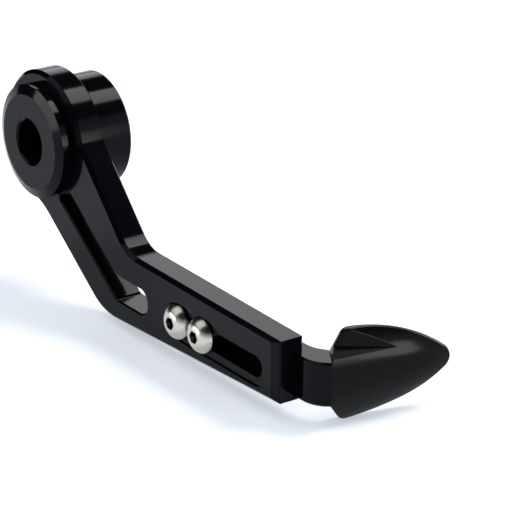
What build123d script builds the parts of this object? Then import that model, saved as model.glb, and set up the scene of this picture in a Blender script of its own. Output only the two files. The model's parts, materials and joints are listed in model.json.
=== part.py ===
# Brake lever guard: a machined arm on a bar-end hub, with a sliding stem and a moulded blade.
# Millimetres. X runs forward along the arm, Y inward along the handlebar, Z up.
# The origin lies on the hub axis, on the face of the collar that seats on the bar end.
import os
from math import acos, cos, degrees, radians, sin

from build123d import *

os.makedirs("parts", exist_ok=True)

# Clearances
RUN_CLEARANCE = 0.05
REGISTER_CLEARANCE = 0.2
SLOT_CLEARANCE = 0.25
HEAD_CLEARANCE = 0.25
THREAD_CLEARANCE = 0.05
GROOVE_CLEARANCE = 0.1
SOCKET_CLEARANCE = 0.05

# Hub
HUB_DIAMETER = 30.0
COLLAR_LENGTH = 10.5
COLLAR_EDGE = 0.4
CAP_RIM = 3.0
CAP_BEVEL = 1.0
CAP_BEVEL_WIDTH = 2.5
SPIGOT_DIAMETER = 18.0
SPIGOT_REACH = 2.0
RECESS_DIAMETER = 11.8
RECESS_DEPTH = 8.5
RECESS_EDGE = 0.5
BOLT_HOLE_DIAMETER = 6.6

# Clamp screws
SCREW_DIAMETER = 5.0
SCREW_POINT = 0.6
HEAD_DIAMETER = 9.5
HEAD_HEIGHT = 2.75
HEAD_RIM = 0.4
HEAD_FLAT = 4.8
HEAD_CROWN = 0.4
HEAD_SPACE = 0.7
HEX_WIDTH = 3.0
HEX_DEPTH = 1.6

# Arm, seen along the hub axis
ARM_THICKNESS = 7.5
EYE_LIP = 3.2
EDGE_INSET = 2.8
OUTER_EDGE_ANGLE = 35.8
INNER_EDGE_ANGLE = 46.2
SLIDE_DROP = 29.3
BOTTOM_RISE_ANGLE = 2.6
TOP_FALL_ANGLE = 0.7
GROOVE_UPPER_WALL = 3.95
GROOVE_LOWER_WALL = 0.7
OUTER_BEND_RADIUS = 16.0
INNER_BEND_RADIUS = 10.0
OUTER_EYE_FILLET = 16.0
INNER_EYE_FILLET = 2.0
FRONT_CHAMFER = 1.0
BACK_CHAMFER = 0.4
END_BEVEL_LENGTH = 2.6
END_BEVEL_DEPTH = 0.7

# Window through the arm
WINDOW_WIDTH = 5.4
WINDOW_OUTER_WALL = 8.6
WINDOW_EYE_WALL = 4.35
WINDOW_ANGLE = 35.5
WINDOW_LEG_LENGTH = 13.9
WINDOW_LEG_HEIGHT = 6.6
WINDOW_LEG_SHIFT = 0.4
WINDOW_START_RADIUS = 2.6
WINDOW_LEG_RADIUS = 3.2
WINDOW_INNER_RADIUS = 6.0
WINDOW_OUTER_RADIUS = 2.5
WINDOW_EDGE = 0.4

# Reach slot and stem groove
SLOT_WEB = 8.3
REACH_TRAVEL = 22.0
SEAT_DEPTH = 0.5
END_WEB = 4.4
GROOVE_DEPTH = 2.5
GROOVE_RUNOUT = 1.5
GROOVE_CORNER = 2.0

# Stem
STEM_HEIGHT = 11.4
STEM_THICKNESS = 5.5
STEM_TAIL = 6.0
STEM_CORNER = 2.5
STEM_EDGE = 0.5
BEND_STANDOFF = 2.9
BEND_RADIUS = 8.0
BEND_ANGLE = 58.0
BACK_BEND_LEAD = 5.7
END_THICKNESS = 8.0
TONGUE_LENGTH = 5.0
TONGUE_ROOT = 2.0
TONGUE_THICKNESS = 2.0
TONGUE_HEIGHT = 8.4
TONGUE_TURN = 20.0
TONGUE_SETBACK = 3.35

# Blade
FRONT_TURN = 25.6
FRONT_LEAD = 3.0
FRONT_BOW_REACH = 11.2
FRONT_BOW_RADIUS = 64.0
CROWN_RADIUS = 19.9
CROWN_TURN = 9.0
BLADE_LENGTH = 31.8
BLADE_HALF_HEIGHT = 11.7
BLADE_CORNER_SETBACK = 2.95
BLADE_ROOT_LEAN = 3.15
BLADE_EDGE_BULGE = 3.1
BLADE_CORNER_RADIUS = 2.5
BLADE_TIP_RADIUS = 3.2
BLADE_EDGE = 0.4
BACK_TURN = 20.0
POCKET_DEPTH = 5.5
POCKET_WALL = 1.4
RIM_WALL = 1.0
POCKET_TURN = 12.3
POCKET_LENGTH = 16.6
LEDGE_RISE = 2.1

# How near counts as touching
TINY = 0.001

# Places along the hub axis
arm_back = -COLLAR_LENGTH
arm_front = arm_back - ARM_THICKNESS
cap_shoulder = arm_front - CAP_RIM
cap_front = cap_shoulder - CAP_BEVEL
spigot_end = arm_back + SPIGOT_REACH
screw_seat = arm_front + SEAT_DEPTH
head_front = screw_seat - HEAD_HEIGHT
stem_front = arm_back - GROOVE_DEPTH
stem_back = stem_front + STEM_THICKNESS

# Sizes shared by pieces that fit together
hub_radius = HUB_DIAMETER / 2
eye_radius = hub_radius + EYE_LIP
edge_offset = eye_radius - EDGE_INSET
spigot_bore_radius = SPIGOT_DIAMETER / 2 + RUN_CLEARANCE
slot_width = SCREW_DIAMETER + 2 * SLOT_CLEARANCE
seat_width = HEAD_DIAMETER + 2 * HEAD_CLEARANCE
groove_height = STEM_HEIGHT + 2 * GROOVE_CLEARANCE


def along(start, angle, distance):
    """Point at a distance from start, along an angle in degrees."""
    return (start[0] + distance * cos(radians(angle)), start[1] + distance * sin(radians(angle)))


def crossing(a, a_angle, b, b_angle):
    """Point where two lines cross, each given by a point and an angle in degrees."""
    turn = sin(radians(b_angle - a_angle))
    gap = (b[0] - a[0]) * sin(radians(b_angle)) - (b[1] - a[1]) * cos(radians(b_angle))
    return along(a, a_angle, gap / turn)


def nearest(vertices, point):
    """The vertex of a sketch nearest to a point."""
    return vertices.sort_by_distance(point)[0]


# Window corners: a sloped slot that turns into a level leg
leg_middle = -SLIDE_DROP - WINDOW_LEG_SHIFT
leg_floor = leg_middle - WINDOW_LEG_HEIGHT / 2
leg_roof = leg_middle + WINDOW_LEG_HEIGHT / 2
window_offset = edge_offset - WINDOW_OUTER_WALL
window_outer = along((0, 0), -90 - WINDOW_ANGLE, window_offset)
window_inner = along((0, 0), -90 - WINDOW_ANGLE, window_offset - WINDOW_WIDTH)
window_start = spigot_bore_radius + WINDOW_EYE_WALL
window_low_start = along(window_outer, -WINDOW_ANGLE, window_start)
window_high_start = along(window_inner, -WINDOW_ANGLE, window_start)
window_low_turn = crossing(window_outer, -WINDOW_ANGLE, (0, leg_floor), 0)
window_high_turn = crossing(window_inner, -WINDOW_ANGLE, (0, leg_roof), 0)
window_end = window_high_turn[0] + WINDOW_LEG_LENGTH

# Places along the arm
screw_inner = window_end + SLOT_WEB + seat_width / 2
screw_outer = screw_inner + HEAD_DIAMETER + HEAD_SPACE
slot_end = screw_outer + REACH_TRAVEL
arm_end = slot_end + seat_width / 2 + END_WEB
stem_start = screw_inner - STEM_TAIL
groove_start = stem_start - GROOVE_RUNOUT
bend_start = arm_end + BEND_STANDOFF

# Arm outline: the two edges of the upper arm, then the bent lower arm
outer_foot = along((0, 0), -90 - OUTER_EDGE_ANGLE, edge_offset)
inner_foot = along((0, 0), 90 - INNER_EDGE_ANGLE, edge_offset)
end_bottom = (arm_end, -SLIDE_DROP - groove_height / 2 - GROOVE_LOWER_WALL)
end_top = (arm_end, -SLIDE_DROP + groove_height / 2 + GROOVE_UPPER_WALL)
outer_bend = crossing(outer_foot, -OUTER_EDGE_ANGLE, end_bottom, BOTTOM_RISE_ANGLE)
inner_bend = crossing(inner_foot, -INNER_EDGE_ANGLE, end_top, -TOP_FALL_ANGLE)
rim_angle = degrees(acos(edge_offset / eye_radius))
outer_notch = along((0, 0), -90 - OUTER_EDGE_ANGLE + rim_angle, eye_radius)
inner_notch = along((0, 0), 90 - INNER_EDGE_ANGLE - rim_angle, eye_radius)

with BuildPart() as arm:
    with BuildSketch(Plane.XZ.offset(-arm_back)) as outline:
        with BuildLine():
            Polyline(outer_foot, outer_bend, end_bottom, end_top, inner_bend, inner_foot, close=True)
        make_face()
        fillet(nearest(outline.vertices(), outer_bend), OUTER_BEND_RADIUS)
        fillet(nearest(outline.vertices(), inner_bend), INNER_BEND_RADIUS)
        Circle(eye_radius)
        fillet(nearest(outline.vertices(), outer_notch), OUTER_EYE_FILLET)
        fillet(nearest(outline.vertices(), inner_notch), INNER_EYE_FILLET)
    extrude(amount=ARM_THICKNESS)
    chamfer(arm.faces().sort_by(Axis.Y)[0].edges(), FRONT_CHAMFER)
    chamfer(arm.faces().sort_by(Axis.Y)[-1].edges(), BACK_CHAMFER)
    # Eye bore
    with BuildSketch(Plane.XZ.offset(-arm_back)):
        Circle(spigot_bore_radius)
    extrude(amount=ARM_THICKNESS, mode=Mode.SUBTRACT)
    # Window
    with BuildSketch(Plane.XZ.offset(-arm_back)) as window:
        with BuildLine():
            Polyline(
                window_low_start,
                window_low_turn,
                (window_end, leg_floor),
                (window_end, leg_roof),
                window_high_turn,
                window_high_start,
                close=True,
            )
        make_face()
        fillet(nearest(window.vertices(), window_low_turn), WINDOW_OUTER_RADIUS)
        fillet(nearest(window.vertices(), window_high_turn), WINDOW_INNER_RADIUS)
        fillet(window.vertices().group_by(Axis.X)[-1], WINDOW_LEG_RADIUS)
        fillet(nearest(window.vertices(), window_low_start), WINDOW_START_RADIUS)
        fillet(nearest(window.vertices(), window_high_start), WINDOW_START_RADIUS)
    extrude(amount=ARM_THICKNESS, mode=Mode.SUBTRACT)
    window_rims = arm.faces().sort_by(Axis.Y)[0].inner_wires()
    chamfer(window_rims.sort_by(SortBy.LENGTH)[-1].edges(), WINDOW_EDGE)
    # Reach slot with its screw seat
    with BuildSketch(Plane.XZ.offset(-arm_back)):
        with Locations(((screw_inner + slot_end) / 2, -SLIDE_DROP)):
            SlotCenterToCenter(slot_end - screw_inner, slot_width)
    extrude(amount=ARM_THICKNESS, mode=Mode.SUBTRACT)
    with BuildSketch(Plane.XZ.offset(-screw_seat)):
        with Locations(((screw_inner + slot_end) / 2, -SLIDE_DROP)):
            SlotCenterToCenter(slot_end - screw_inner, seat_width)
    extrude(amount=SEAT_DEPTH, mode=Mode.SUBTRACT)
    # Groove that guides the stem along the back
    with BuildSketch(Plane.XZ.offset(-arm_back)) as groove:
        with Locations((groove_start, -SLIDE_DROP)):
            Rectangle(arm_end - groove_start, groove_height, align=(Align.MIN, Align.CENTER))
        fillet(groove.vertices().group_by(Axis.X)[0], GROOVE_CORNER)
    extrude(amount=GROOVE_DEPTH, mode=Mode.SUBTRACT)
    # Bevel across the front of the end
    with BuildSketch(Plane.XY):
        with BuildLine():
            Polyline(
                (arm_end - END_BEVEL_LENGTH, arm_front),
                (arm_end, arm_front),
                (arm_end, arm_front + END_BEVEL_DEPTH),
                close=True,
            )
        make_face()
    extrude(amount=-2 * SLIDE_DROP, mode=Mode.SUBTRACT)
arm.part.label = "arm"
export_step(arm.part, "parts/arm.step")

with BuildPart() as hub_cap:
    with BuildSketch(Plane.XY):
        with BuildLine():
            Polyline(
                (BOLT_HOLE_DIAMETER / 2, cap_front + RECESS_DEPTH),
                (RECESS_DIAMETER / 2, cap_front + RECESS_DEPTH),
                (RECESS_DIAMETER / 2, cap_front + RECESS_EDGE),
                (RECESS_DIAMETER / 2 + RECESS_EDGE, cap_front),
                (hub_radius - CAP_BEVEL_WIDTH, cap_front),
                (hub_radius, cap_shoulder),
                (hub_radius, arm_front),
                (SPIGOT_DIAMETER / 2, arm_front),
                (SPIGOT_DIAMETER / 2, spigot_end),
                (BOLT_HOLE_DIAMETER / 2, spigot_end),
                close=True,
            )
        make_face()
    revolve(axis=Axis.Y)
hub_cap.part.label = "hub_cap"
export_step(hub_cap.part, "parts/hub_cap.step")

with BuildPart() as bar_end_collar:
    register_floor = spigot_end + REGISTER_CLEARANCE
    with BuildSketch(Plane.XY):
        with BuildLine():
            Polyline(
                (BOLT_HOLE_DIAMETER / 2, register_floor),
                (spigot_bore_radius, register_floor),
                (spigot_bore_radius, arm_back),
                (hub_radius - COLLAR_EDGE, arm_back),
                (hub_radius, arm_back + COLLAR_EDGE),
                (hub_radius, -COLLAR_EDGE),
                (hub_radius - COLLAR_EDGE, 0),
                (BOLT_HOLE_DIAMETER / 2, 0),
                close=True,
            )
        make_face()
    revolve(axis=Axis.Y)
bar_end_collar.part.label = "bar_end_collar"
export_step(bar_end_collar.part, "parts/bar_end_collar.step")

for node, place in (("clamp_screw_inner", screw_inner), ("clamp_screw_outer", screw_outer)):
    with BuildPart() as clamp_screw:
        with BuildSketch(Plane.XY.offset(-SLIDE_DROP)):
            with BuildLine():
                head_top = Line((place, head_front), (place + HEAD_FLAT / 2, head_front))
                head_rim = (place + HEAD_DIAMETER / 2, screw_seat - HEAD_RIM)
                dome = SagittaArc(head_top @ 1, head_rim, -HEAD_CROWN)
                Polyline(
                    dome @ 1,
                    (place + HEAD_DIAMETER / 2, screw_seat),
                    (place + SCREW_DIAMETER / 2, screw_seat),
                    (place + SCREW_DIAMETER / 2, stem_back - SCREW_POINT),
                    (place + SCREW_DIAMETER / 2 - SCREW_POINT, stem_back),
                    (place, stem_back),
                    head_top @ 0,
                )
            make_face()
        revolve(axis=Axis((place, 0, -SLIDE_DROP), (0, 1, 0)))
        with BuildSketch(Plane.XZ.offset(-head_front)):
            with Locations((place, -SLIDE_DROP)):
                RegularPolygon(HEX_WIDTH / 2, 6, major_radius=False)
        extrude(amount=-HEX_DEPTH, mode=Mode.SUBTRACT)
    clamp_screw.part.label = node
    export_step(clamp_screw.part, f"parts/{node}.step")

# The stem's bend, seen from above: its centre, then the two corners of its end
bend_centre = (bend_start, stem_front + BEND_RADIUS)
end_front = along(bend_centre, BEND_ANGLE - 90, BEND_RADIUS)
end_back = along(end_front, BEND_ANGLE + 90, END_THICKNESS)
tongue_start = along(end_front, BEND_ANGLE + 90, TONGUE_SETBACK)
tongue_foot = along(tongue_start, BEND_ANGLE + TONGUE_TURN, -TONGUE_ROOT)
tongue_plane = Plane(
    origin=(tongue_foot[0], tongue_foot[1], -SLIDE_DROP),
    x_dir=(0, 0, 1),
    z_dir=(cos(radians(BEND_ANGLE + TONGUE_TURN)), sin(radians(BEND_ANGLE + TONGUE_TURN)), 0),
)

with BuildPart() as slide_stem:
    with BuildSketch(Plane.XY.offset(-SLIDE_DROP - STEM_HEIGHT / 2)):
        with BuildLine():
            front = Line((stem_start, stem_front), (bend_start, stem_front))
            front_bend = CenterArc(bend_centre, BEND_RADIUS, -90, BEND_ANGLE)
            back_bend = TangentArc((bend_start - BACK_BEND_LEAD, stem_back), end_back, tangent=(1, 0))
            Line(front_bend @ 1, end_back)
            Polyline(back_bend @ 0, (stem_start, stem_back), front @ 0)
        make_face()
    extrude(amount=STEM_HEIGHT)
    fillet(slide_stem.edges().filter_by(Axis.Y).group_by(Axis.X)[0], STEM_CORNER)
    upper_rim = slide_stem.faces().sort_by(Axis.Z)[-1].edges()
    lower_rim = slide_stem.faces().sort_by(Axis.Z)[0].edges()
    front_run = (upper_rim + lower_rim).filter_by(Axis.X).group_by(Axis.Y)[0]
    front_turn = (upper_rim + lower_rim).filter_by(GeomType.CIRCLE).group_by(Axis.X)[-1]
    chamfer(front_run + front_turn, STEM_EDGE)
    # Tongue that the blade is moulded over
    with BuildSketch(tongue_plane):
        Rectangle(TONGUE_HEIGHT, TONGUE_THICKNESS)
    extrude(amount=TONGUE_ROOT + TONGUE_LENGTH)
    with BuildSketch(Plane.XZ.offset(-stem_back)):
        with Locations((screw_inner, -SLIDE_DROP), (screw_outer, -SLIDE_DROP)):
            Circle(SCREW_DIAMETER / 2 + THREAD_CLEARANCE)
    extrude(amount=STEM_THICKNESS, mode=Mode.SUBTRACT)
slide_stem.part.label = "slide_stem"
export_step(slide_stem.part, "parts/slide_stem.step")

# The stem's end faces along one direction, and its front lies outward of its back
end_direction = Vector(cos(radians(BEND_ANGLE)), sin(radians(BEND_ANGLE)), 0)
end_outward = Vector(cos(radians(BEND_ANGLE - 90)), sin(radians(BEND_ANGLE - 90)), 0)
end_plane = Plane(origin=(end_front[0], end_front[1], -SLIDE_DROP), x_dir=end_outward, z_dir=end_direction)
side_plane = Plane(origin=end_plane.origin, x_dir=end_direction, z_dir=end_outward)

# The blade's front is turned about an axis behind it, which nears the front towards the tip
crown_angle = BEND_ANGLE + CROWN_TURN
crown_start = along(end_front, crown_angle + 90, CROWN_RADIUS)
crown_plane = Plane(
    origin=(crown_start[0], crown_start[1], -SLIDE_DROP),
    x_dir=(cos(radians(crown_angle)), sin(radians(crown_angle)), 0),
    z_dir=(sin(radians(crown_angle)), -cos(radians(crown_angle)), 0),
)
crown_axis = Axis(crown_plane.origin, crown_plane.x_dir)
front_foot = (0, CROWN_RADIUS)
front_slope = CROWN_TURN - FRONT_TURN
bow_turn = degrees(2 * FRONT_BOW_REACH / FRONT_BOW_RADIUS)

# Side outline of the blade, from the stem's end
blade_corner = (BLADE_CORNER_SETBACK, BLADE_HALF_HEIGHT)
blade_tip = (BLADE_LENGTH, 0)
blade_root = (BLADE_CORNER_SETBACK - BLADE_ROOT_LEAN, STEM_HEIGHT / 2)

# The pocket runs from the stem's end to a point on the front, over a sloping ledge
ledge_height = STEM_HEIGHT / 2
pocket_start = along(end_front, BEND_ANGLE + 90, POCKET_DEPTH)
pocket_end = along(pocket_start, BEND_ANGLE + POCKET_TURN, POCKET_LENGTH)
pocket_root = Vector(pocket_start[0], pocket_start[1], STEM_HEIGHT / 2 + LEDGE_RISE - SLIDE_DROP)
pocket_tip = Vector(pocket_end[0], pocket_end[1], ledge_height - SLIDE_DROP)
pocket_lip = Vector(end_front[0], end_front[1], ledge_height - SLIDE_DROP)
ledge_run = pocket_tip - pocket_root
ledge_plane = Plane(origin=pocket_root, x_dir=ledge_run, z_dir=ledge_run.cross(pocket_root - pocket_lip))
floor_middle = pocket_root + ledge_run / 2 + (0, 0, LEDGE_RISE)
back_angle = BEND_ANGLE + BACK_TURN
back_start = along(pocket_start, back_angle + 90, POCKET_WALL)
back_plane = Plane(
    origin=(back_start[0], back_start[1], -SLIDE_DROP),
    x_dir=(cos(radians(back_angle)), sin(radians(back_angle)), 0),
    z_dir=(sin(radians(back_angle)), -cos(radians(back_angle)), 0),
)

with BuildPart() as guard_blade:
    with BuildSketch(crown_plane):
        with BuildLine():
            front_start = along(front_foot, front_slope, -FRONT_LEAD)
            front_line = Line(front_start, along(front_foot, front_slope, BLADE_LENGTH - FRONT_BOW_REACH))
            bow = JernArc(front_line @ 1, front_line % 1, FRONT_BOW_RADIUS, -bow_turn)
            Polyline(bow @ 1, ((bow @ 1).X, 0), ((front_line @ 0).X, 0), front_line @ 0)
        make_face()
    revolve(axis=crown_axis, revolution_arc=180)
    split(bisect_by=end_plane, keep=Keep.TOP)
    # Trim to the side outline
    with BuildSketch(side_plane) as side:
        with BuildLine():
            SagittaArc(blade_corner, blade_tip, BLADE_EDGE_BULGE)
            Polyline(blade_corner, blade_root, (blade_root[0], 0))
            mirror(about=Plane.XZ)
        make_face()
        fillet(nearest(side.vertices(), blade_tip), BLADE_TIP_RADIUS)
        fillet(nearest(side.vertices(), blade_corner), BLADE_CORNER_RADIUS)
        fillet(nearest(side.vertices(), (blade_corner[0], -blade_corner[1])), BLADE_CORNER_RADIUS)
    extrude(amount=BLADE_LENGTH, both=True, mode=Mode.INTERSECT)
    # Cut the flat back, behind the rim's deepest place
    turned_faces = guard_blade.faces().filter_by(lambda f: f.geom_type in (GeomType.CONE, GeomType.REVOLUTION))
    deepest = back_plane.to_local_coords(Compound(turned_faces)).bounding_box().min.Z
    split(bisect_by=back_plane.offset(min(0, deepest - RIM_WALL)), keep=Keep.TOP)
    # Round the rim, front and back, apart from the edges that meet the stem
    rim_faces = guard_blade.faces().filter_by(lambda f: abs(f.normal_at().dot(end_outward)) < TINY)
    rim = rim_faces.edges().filter_by(lambda e: abs((e % 0.5).dot(end_outward)) < 1 - TINY)
    rim = rim.filter_by(lambda e: abs(end_plane.to_local_coords(e.center()).Z) > TINY)
    fillet(rim.filter_by(lambda e: back_plane.to_local_coords(e.center()).Z < TINY), BLADE_EDGE)
    fillet(rim.filter_by(lambda e: back_plane.to_local_coords(e.center()).Z > TINY), BLADE_EDGE)
    # Pocket over the ledge
    with BuildSketch(ledge_plane):
        Rectangle(4 * POCKET_LENGTH, 2 * POCKET_DEPTH, align=(Align.CENTER, Align.MAX))
    extrude(amount=BLADE_HALF_HEIGHT, dir=(0, 0, 1), mode=Mode.SUBTRACT)
    floor_edges = guard_blade.faces().sort_by_distance(floor_middle)[0].edges()
    fillet(floor_edges.sort_by(Axis.Y)[:3], BLADE_EDGE)
    # Socket for the stem's tongue
    with BuildSketch(tongue_plane):
        Rectangle(TONGUE_HEIGHT + 2 * SOCKET_CLEARANCE, TONGUE_THICKNESS + 2 * SOCKET_CLEARANCE)
    extrude(amount=TONGUE_ROOT + TONGUE_LENGTH + SOCKET_CLEARANCE, mode=Mode.SUBTRACT)
guard_blade.part.label = "guard_blade"
export_step(guard_blade.part, "parts/guard_blade.step")
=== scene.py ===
# Brake lever guard: finishes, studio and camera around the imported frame. Metres.
import json
from math import atan, cos, pi, radians, sin

import bpy
from mathutils import Matrix, Vector


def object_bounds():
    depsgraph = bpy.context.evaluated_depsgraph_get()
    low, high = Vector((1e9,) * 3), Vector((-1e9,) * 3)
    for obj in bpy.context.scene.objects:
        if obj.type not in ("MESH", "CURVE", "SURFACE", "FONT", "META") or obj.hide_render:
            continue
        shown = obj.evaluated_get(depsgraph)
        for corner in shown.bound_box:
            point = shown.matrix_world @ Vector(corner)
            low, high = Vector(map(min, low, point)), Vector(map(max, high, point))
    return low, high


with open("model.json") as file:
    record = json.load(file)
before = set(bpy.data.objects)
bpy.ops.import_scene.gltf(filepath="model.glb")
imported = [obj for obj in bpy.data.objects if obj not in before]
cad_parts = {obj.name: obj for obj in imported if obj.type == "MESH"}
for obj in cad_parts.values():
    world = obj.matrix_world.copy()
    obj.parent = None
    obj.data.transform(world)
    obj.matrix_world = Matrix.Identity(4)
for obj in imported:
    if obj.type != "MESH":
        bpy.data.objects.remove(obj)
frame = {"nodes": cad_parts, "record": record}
cad_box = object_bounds()
nodes = frame["nodes"]

# Camera
CAMERA_PLACE = (0.5830, -0.3782, 0.2488)
CAMERA_AZIMUTH = 53.52
CAMERA_ELEVATION = 22.42
CAMERA_ROLL = 0.92
FRAME_PIXELS = 520
FOCAL_PIXELS = 2800

# Finishes: roughness and the painted socket shade as lowest and highest, bump as strength and depth
ANODISED_COLOUR = (0.0018, 0.0020, 0.0032, 1)
ANODISED_IOR = 1.18
ANODISED_ROUGHNESS = (0.07, 0.15)
ANODISED_GRAIN = 900
ANODISED_DETAIL = 3
ANODISED_BUMP = (0.02, 0.0002)
PLASTIC_COLOUR = (0.0020, 0.0020, 0.0022, 1)
PLASTIC_IOR = 1.18
PLASTIC_ROUGHNESS = (0.13, 0.20)
PLASTIC_GRAIN = 2500
PLASTIC_DETAIL = 2
PLASTIC_BUMP = (0.03, 0.0001)
STEEL_COLOUR = (0.54, 0.52, 0.47, 1)
STEEL_ROUGHNESS = (0.20, 0.30)
STEEL_GRAIN = 1500
STEEL_DETAIL = 3
# Painted shade: a dark brown mixed into the steel by ambient occlusion, standing in for the shade down in
# the hex sockets
SOCKET_PAINTED_SHADE = (0.022, 0.014, 0.006, 1)
SOCKET_SHADE_REACH = 0.0016
SOCKET_SHADE_SAMPLES = 8
SOCKET_SHADE_RANGE = (-1.7, 1.25)

# Sockets of a Mix node that mixes colours
MIX_FACTOR = 0
MIX_FIRST = 6
MIX_SECOND = 7
MIX_RESULT = 2

# Floor
FLOOR_SIZE = 3.0
FLOOR_GAP = 0.0002
FLOOR_COLOUR = (0.84, 0.87, 0.92, 1)
FLOOR_LIFT = 0.42
FLOOR_LIFT_COLOUR = (0.86, 0.93, 1, 1)

# World: strengths, and the coordinates of a direction between which each part fades in
WHITE = (1, 1, 1, 1)
CAMERA_WHITE = 1.0
STUDIO_COLOUR = (0.92, 0.96, 1, 1)
BACKDROP = 1.0
BACKDROP_HEIGHT = (0.62, 0.46)
BACKDROP_DEPTH = (0.10, 0.45)
HORIZON = 0.60
HORIZON_HEIGHT = (0.45, 0.15)
HORIZON_LEFT_END = (-0.80, -0.40)
DOME = 0.25

# Lamps: name, direction from the object, distance, width and height, radiance
LAMP_AIM = (0.05, 0.0, -0.02)
LAMPS = (
    ("overhead", (0.095, 0.55, 0.83), 6.0, (2.52, 2.40), 10.5),
    ("back", (-0.74, 0.54, 0.40), 1.5, (0.80, 0.50), 1.8),
    ("side", (0.93, 0.36, 0.18), 1.0, (0.34, 0.34), 9.5),
    ("front", (-0.27, -0.50, 0.80), 1.0, (0.84, 1.10), 1.05),
    ("window", (-0.50, -0.86, 0.09), 1.0, (0.62, 0.26), 6.0),
)


def node_tree(owner):
    """Empties an owner's shader tree and returns its nodes and a linking function."""
    owner.use_nodes = True
    tree = owner.node_tree
    tree.nodes.clear()
    return tree.nodes, tree.links.new


def add_node(tree_nodes, kind, **values):
    """A shader node with its properties and input sockets set by name."""
    node = tree_nodes.new(kind)
    for name, value in values.items():
        if name in node.inputs:
            node.inputs[name].default_value = value
        else:
            setattr(node, name, value)
    return node


def combine(tree_nodes, link, operation, first, second):
    """The result of a math node on two sockets."""
    node = add_node(tree_nodes, "ShaderNodeMath", operation=operation)
    link(first, node.inputs[0])
    link(second, node.inputs[1])
    return node.outputs["Value"]


def new_material(name):
    """A material with a principled shader, with its nodes and linking function."""
    material = bpy.data.materials.new(name)
    tree_nodes, link = node_tree(material)
    shader = tree_nodes.new("ShaderNodeBsdfPrincipled")
    output = tree_nodes.new("ShaderNodeOutputMaterial")
    link(shader.outputs["BSDF"], output.inputs["Surface"])
    return material, tree_nodes, link, shader


def noise(tree_nodes, link, scale, detail):
    """Noise in object space."""
    place = tree_nodes.new("ShaderNodeTexCoord")
    pattern = add_node(tree_nodes, "ShaderNodeTexNoise", Scale=scale, Detail=detail)
    link(place.outputs["Object"], pattern.inputs["Vector"])
    return pattern.outputs["Fac"]


def spread(tree_nodes, link, source, ends):
    """Maps a 0 to 1 pattern onto a range of values."""
    ramp = tree_nodes.new("ShaderNodeMapRange")
    ramp.inputs["To Min"].default_value, ramp.inputs["To Max"].default_value = ends
    link(source, ramp.inputs["Value"])
    return ramp.outputs["Result"]


def black_finish(name, colour, ior, roughness, scale, detail, bump):
    """A black coating or moulding, with a fine grain in its gloss and its surface."""
    material, tree_nodes, link, shader = new_material(name)
    shader.inputs["Base Color"].default_value = colour
    shader.inputs["IOR"].default_value = ior
    grain = noise(tree_nodes, link, scale, detail)
    link(spread(tree_nodes, link, grain, roughness), shader.inputs["Roughness"])
    strength, depth = bump
    relief = add_node(tree_nodes, "ShaderNodeBump", Strength=strength, Distance=depth)
    link(grain, relief.inputs["Height"])
    link(relief.outputs["Normal"], shader.inputs["Normal"])
    return material


def steel_finish(name):
    """Bright stainless steel, with a painted brown shade mixed in down in the sockets where ambient
    occlusion finds a recess.
    """
    material, tree_nodes, link, shader = new_material(name)
    shader.inputs["Metallic"].default_value = 1
    # Painted shade: ambient occlusion mixes the dark brown socket colour into the steel in recesses
    openness = add_node(
        tree_nodes, "ShaderNodeAmbientOcclusion", samples=SOCKET_SHADE_SAMPLES, Distance=SOCKET_SHADE_REACH
    )
    socket_shade_mix = add_node(tree_nodes, "ShaderNodeMix", data_type="RGBA")
    socket_shade_mix.inputs[MIX_FIRST].default_value = SOCKET_PAINTED_SHADE
    socket_shade_mix.inputs[MIX_SECOND].default_value = STEEL_COLOUR
    link(spread(tree_nodes, link, openness.outputs["AO"], SOCKET_SHADE_RANGE), socket_shade_mix.inputs[MIX_FACTOR])
    link(socket_shade_mix.outputs[MIX_RESULT], shader.inputs["Base Color"])
    grain = noise(tree_nodes, link, STEEL_GRAIN, STEEL_DETAIL)
    link(spread(tree_nodes, link, grain, STEEL_ROUGHNESS), shader.inputs["Roughness"])
    return material


FINISHES = {
    "black_anodised": black_finish(
        "black_anodised", ANODISED_COLOUR, ANODISED_IOR, ANODISED_ROUGHNESS,
        ANODISED_GRAIN, ANODISED_DETAIL, ANODISED_BUMP,
    ),
    "blade_plastic": black_finish(
        "blade_plastic", PLASTIC_COLOUR, PLASTIC_IOR, PLASTIC_ROUGHNESS,
        PLASTIC_GRAIN, PLASTIC_DETAIL, PLASTIC_BUMP,
    ),
    "screw_steel": steel_finish("screw_steel"),
}
for subpart in frame["record"]["subparts"]:
    for slot in nodes[subpart["node"]].material_slots:
        slot.material = FINISHES[subpart["material_slot"]]

# Floor: lifted to white for the camera and in reflections, with the object's soft shadow left on it
lowest = cad_box[0][2]
bpy.ops.mesh.primitive_plane_add(size=FLOOR_SIZE, location=(0, 0, lowest - FLOOR_GAP))
floor = bpy.context.object
floor.name = "floor"
floor_material = bpy.data.materials.new("floor_white")
tree_nodes, link = node_tree(floor_material)
path = tree_nodes.new("ShaderNodeLightPath").outputs
seen = combine(tree_nodes, link, "MAXIMUM", path["Is Camera Ray"], path["Is Transmission Ray"])
shown = combine(tree_nodes, link, "MAXIMUM", seen, path["Is Glossy Ray"])
glow = add_node(tree_nodes, "ShaderNodeMath", operation="MULTIPLY")
glow.inputs[1].default_value = FLOOR_LIFT
lift = add_node(tree_nodes, "ShaderNodeEmission", Color=FLOOR_LIFT_COLOUR)
paper = add_node(tree_nodes, "ShaderNodeBsdfDiffuse", Color=FLOOR_COLOUR)
total = tree_nodes.new("ShaderNodeAddShader")
output = tree_nodes.new("ShaderNodeOutputMaterial")
link(shown, glow.inputs[0])
link(glow.outputs["Value"], lift.inputs["Strength"])
link(paper.outputs["BSDF"], total.inputs[0])
link(lift.outputs["Emission"], total.inputs[1])
link(total.outputs["Shader"], output.inputs["Surface"])
floor.data.materials.append(floor_material)

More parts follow.
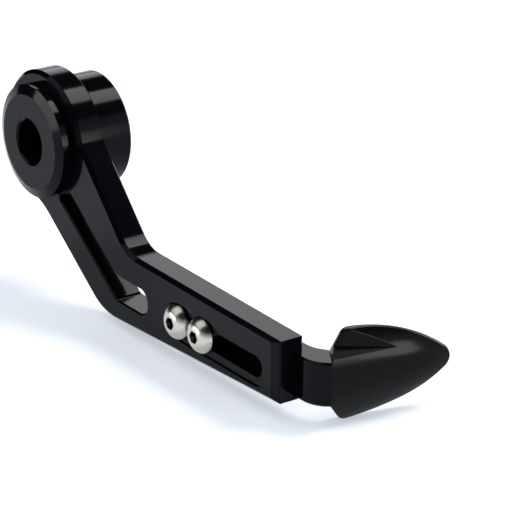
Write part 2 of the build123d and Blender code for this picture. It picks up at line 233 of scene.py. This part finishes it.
# World: white to the camera, a soft dome, and a backdrop, horizon and dark room in reflections
world = bpy.data.worlds.new("studio")
bpy.context.scene.world = world
tree_nodes, link = node_tree(world)
path = tree_nodes.new("ShaderNodeLightPath").outputs
direction = tree_nodes.new("ShaderNodeTexCoord")
axes = tree_nodes.new("ShaderNodeSeparateXYZ")
link(direction.outputs["Generated"], axes.inputs["Vector"])


def fade(axis, limits, strength=1.0):
    """A soft step along an axis of the direction, from nothing at the first limit to a strength."""
    ramp = add_node(tree_nodes, "ShaderNodeMapRange", interpolation_type="SMOOTHSTEP")
    ramp.inputs["From Min"].default_value, ramp.inputs["From Max"].default_value = limits
    ramp.inputs["To Min"].default_value = 0
    ramp.inputs["To Max"].default_value = strength
    link(axes.outputs[axis], ramp.inputs["Value"])
    return ramp.outputs["Result"]


backdrop = combine(
    tree_nodes, link, "MULTIPLY", fade("Z", BACKDROP_HEIGHT, BACKDROP), fade("Y", BACKDROP_DEPTH)
)
horizon = combine(
    tree_nodes, link, "MULTIPLY", fade("Z", HORIZON_HEIGHT, HORIZON), fade("X", HORIZON_LEFT_END)
)
studio = add_node(tree_nodes, "ShaderNodeBackground", Color=STUDIO_COLOUR)
link(combine(tree_nodes, link, "MAXIMUM", backdrop, horizon), studio.inputs["Strength"])
dome = add_node(tree_nodes, "ShaderNodeBackground", Color=WHITE, Strength=DOME)
white = add_node(tree_nodes, "ShaderNodeBackground", Color=WHITE, Strength=CAMERA_WHITE)
soft = tree_nodes.new("ShaderNodeMixShader")
link(path["Is Diffuse Ray"], soft.inputs["Fac"])
link(studio.outputs["Background"], soft.inputs[1])
link(dome.outputs["Background"], soft.inputs[2])
choice = tree_nodes.new("ShaderNodeMixShader")
seen = combine(tree_nodes, link, "MAXIMUM", path["Is Camera Ray"], path["Is Transmission Ray"])
link(seen, choice.inputs["Fac"])
link(soft.outputs["Shader"], choice.inputs[1])
link(white.outputs["Background"], choice.inputs[2])
output = tree_nodes.new("ShaderNodeOutputWorld")
link(choice.outputs["Shader"], output.inputs["Surface"])


def softbox(name, towards, distance, size, radiance):
    """An area lamp in a direction from the object, turned to face it, as bright all over as its radiance."""
    lamp = bpy.data.lights.new(name, "AREA")
    lamp.shape = "RECTANGLE"
    lamp.size, lamp.size_y = size
    lamp.energy = radiance * pi * lamp.size * lamp.size_y
    towards = Vector(towards).normalized()
    box = bpy.data.objects.new(name, lamp)
    box.location = Vector(LAMP_AIM) + towards * distance
    box.rotation_euler = towards.to_track_quat("Z", "Y").to_euler()
    bpy.context.scene.collection.objects.link(box)


for lamp_values in LAMPS:
    softbox(*lamp_values)

# Camera at the photograph's angle
azimuth = radians(CAMERA_AZIMUTH)
elevation = radians(CAMERA_ELEVATION)
roll = radians(CAMERA_ROLL)
back = Vector((sin(azimuth) * cos(elevation), -cos(azimuth) * cos(elevation), sin(elevation)))
level = Vector((cos(azimuth), sin(azimuth), 0))
right = level * cos(roll) + back.cross(level) * sin(roll)
up = back.cross(right)
turn = Matrix((right, up, back)).transposed().to_4x4()
camera = bpy.data.objects.new("camera", bpy.data.cameras.new("camera"))
camera.matrix_world = Matrix.Translation(CAMERA_PLACE) @ turn
camera.data.angle = 2 * atan(FRAME_PIXELS / 2 / FOCAL_PIXELS)
bpy.context.scene.collection.objects.link(camera)
bpy.context.scene.camera = camera

bpy.context.scene.view_settings.view_transform = "Standard"
